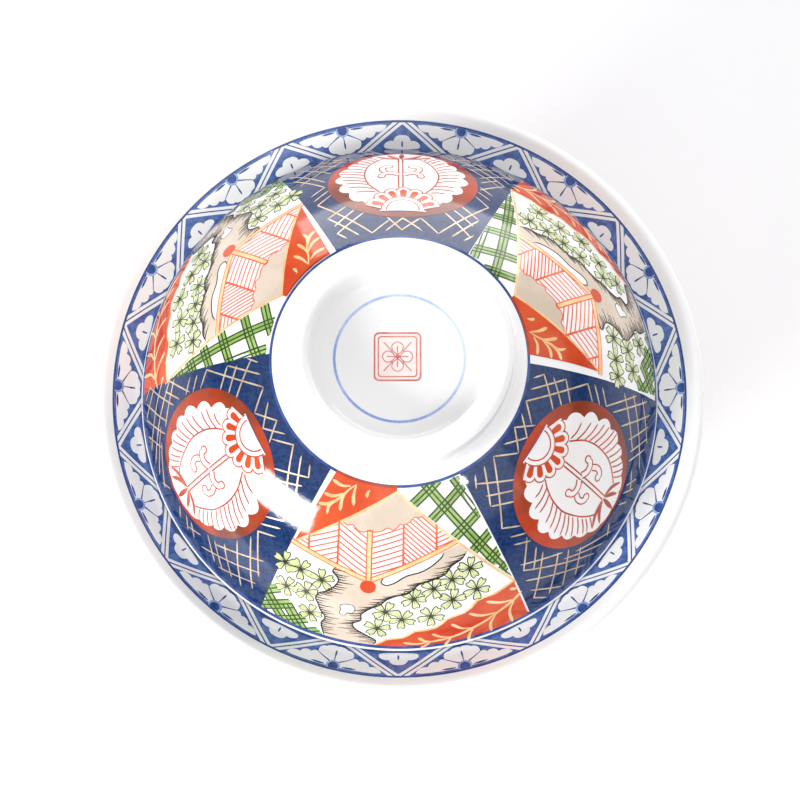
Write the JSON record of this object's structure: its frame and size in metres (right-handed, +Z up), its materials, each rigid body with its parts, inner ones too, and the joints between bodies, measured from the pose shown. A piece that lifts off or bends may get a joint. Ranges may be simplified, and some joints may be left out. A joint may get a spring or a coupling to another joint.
{
  "type": "lidded donburi bowl",
  "caption": "Deep round porcelain rice bowl with a flared rim and a foot ring, and a domed lid with a grip ring that rests inside the rim.",
  "frame": {"origin": "the middle of the circle on which the bowl's foot ring stands, at the height of the foot's flat face", "axes": "+Z up along the turning axis of the bowl and the lid; +Y away from the side from which the picture is taken; +X to that view's right"},
  "size_m": [0.16, 0.16, 0.1202],
  "materials": {
    "porcelain": "gloss",
    "bare_foot": "matte",
    "cobalt": "gloss",
    "iron_red": "gloss",
    "leaf_green": "gloss",
    "buff": "gloss",
    "gold": "satin",
    "outline": "gloss"
  },
  "bodies": {
    "bowl": {"bowl": "porcelain"},
    "lid": {"lid": "porcelain"}
  },
  "joints": [
    {"name": "lid_lift", "type": "slide", "parent": "bowl", "child": "lid", "axis": [0, 0, 1], "range_m": [0, 0.09]}
  ]
}
